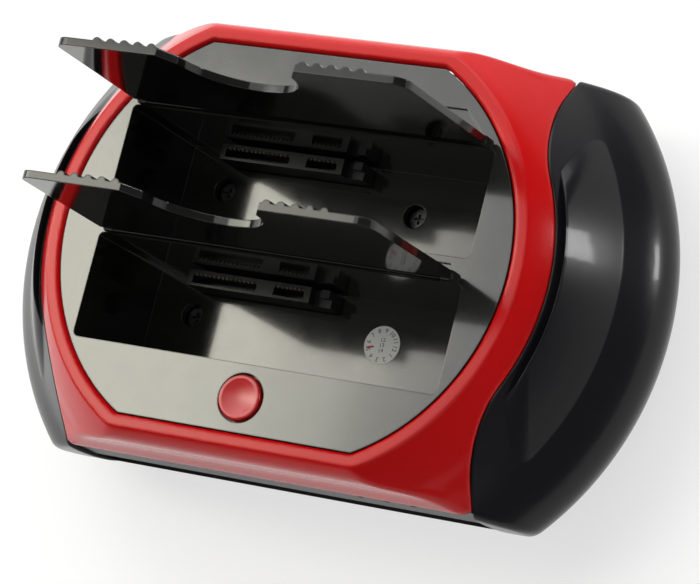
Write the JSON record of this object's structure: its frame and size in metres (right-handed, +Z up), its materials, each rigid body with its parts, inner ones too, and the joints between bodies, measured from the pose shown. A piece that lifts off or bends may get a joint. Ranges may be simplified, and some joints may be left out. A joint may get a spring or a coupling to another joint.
{
  "type": "drive duplicator",
  "caption": "Table-top drive duplicator with two open bays, a hinged flap behind each bay, drive sockets in the bay floors and a copy button on the deck.",
  "frame": {"origin": "centre of the footprint at table level", "axes": "+X to the right seen from the button side, +Y to the back, +Z up"},
  "size_m": [0.1842, 0.1128, 0.1013],
  "materials": {
    "red_gloss": "gloss",
    "red_cap": "gloss",
    "black_gloss": "gloss",
    "flap_black": "gloss",
    "black_satin": "matte",
    "socket_black": "matte",
    "contact_gold": "plated",
    "steel": "brushed",
    "screw_black": "blackened",
    "board_green": "solder mask",
    "chip_black": "matte",
    "can_aluminium": "satin",
    "lamp_clear": "clear",
    "foot_rubber": "matte",
    "sticker_paper": "paper"
  },
  "bodies": {
    "case": {"top_shell": "red_gloss", "left_side_pod": "black_gloss", "right_side_pod": "black_gloss", "front_panel": "black_satin", "rear_panel": "black_satin", "base_shell": "black_satin", "deck_tray": "black_gloss", "front_hinge_rod": "steel", "rear_hinge_rod": "steel", "front_drive_socket": "socket_black", "rear_drive_socket": "socket_black", "front_socket_contacts": "contact_gold", "rear_socket_contacts": "contact_gold", "main_board": "board_green", "bridge_chip": "chip_black", "capacitors": "can_aluminium", "usb_port": "steel", "esata_port": "steel", "dc_jack": "black_satin", "power_switch": "black_satin", "switch_board": "board_green", "tact_switch": "black_satin", "button_boot": "foot_rubber", "bay_screws": "screw_black", "board_screws": "screw_black", "case_screws": "screw_black", "switch_board_screws": "screw_black", "status_lamps": "lamp_clear", "rubber_feet": "foot_rubber", "inspection_sticker": "sticker_paper"},
    "front_flap": {"front_door": "flap_black"},
    "rear_flap": {"rear_door": "flap_black"},
    "copy_button": {"backup_button": "red_cap"},
    "power_cap": {"power_button": "black_satin"}
  },
  "joints": [
    {"name": "front_flap_hinge", "type": "hinge", "parent": "case", "child": "front_flap", "pos_m": [0, -0.00265, 0.0558], "axis": [1, 0, 0], "range_deg": [0, 90]},
    {"name": "rear_flap_hinge", "type": "hinge", "parent": "case", "child": "rear_flap", "pos_m": [0, 0.03155, 0.0558], "axis": [1, 0, 0], "range_deg": [0, 85.05]},
    {"name": "copy_button_press", "type": "slide", "parent": "case", "child": "copy_button", "axis": [0, 0, -1], "range_m": [0, 0.0012], "stiffness_N_per_m": 600, "springref_m": -0.0005, "deforming": ["button_boot"]},
    {"name": "power_button_press", "type": "slide", "parent": "case", "child": "power_cap", "axis": [0, -1, 0], "range_m": [0, 0.0012], "stiffness_N_per_m": 500, "springref_m": -0.0005}
  ],
  "couplings": [
    {"joint": "rear_flap_hinge", "follows": "front_flap_hinge", "ratio": 0.9444}
  ]
}
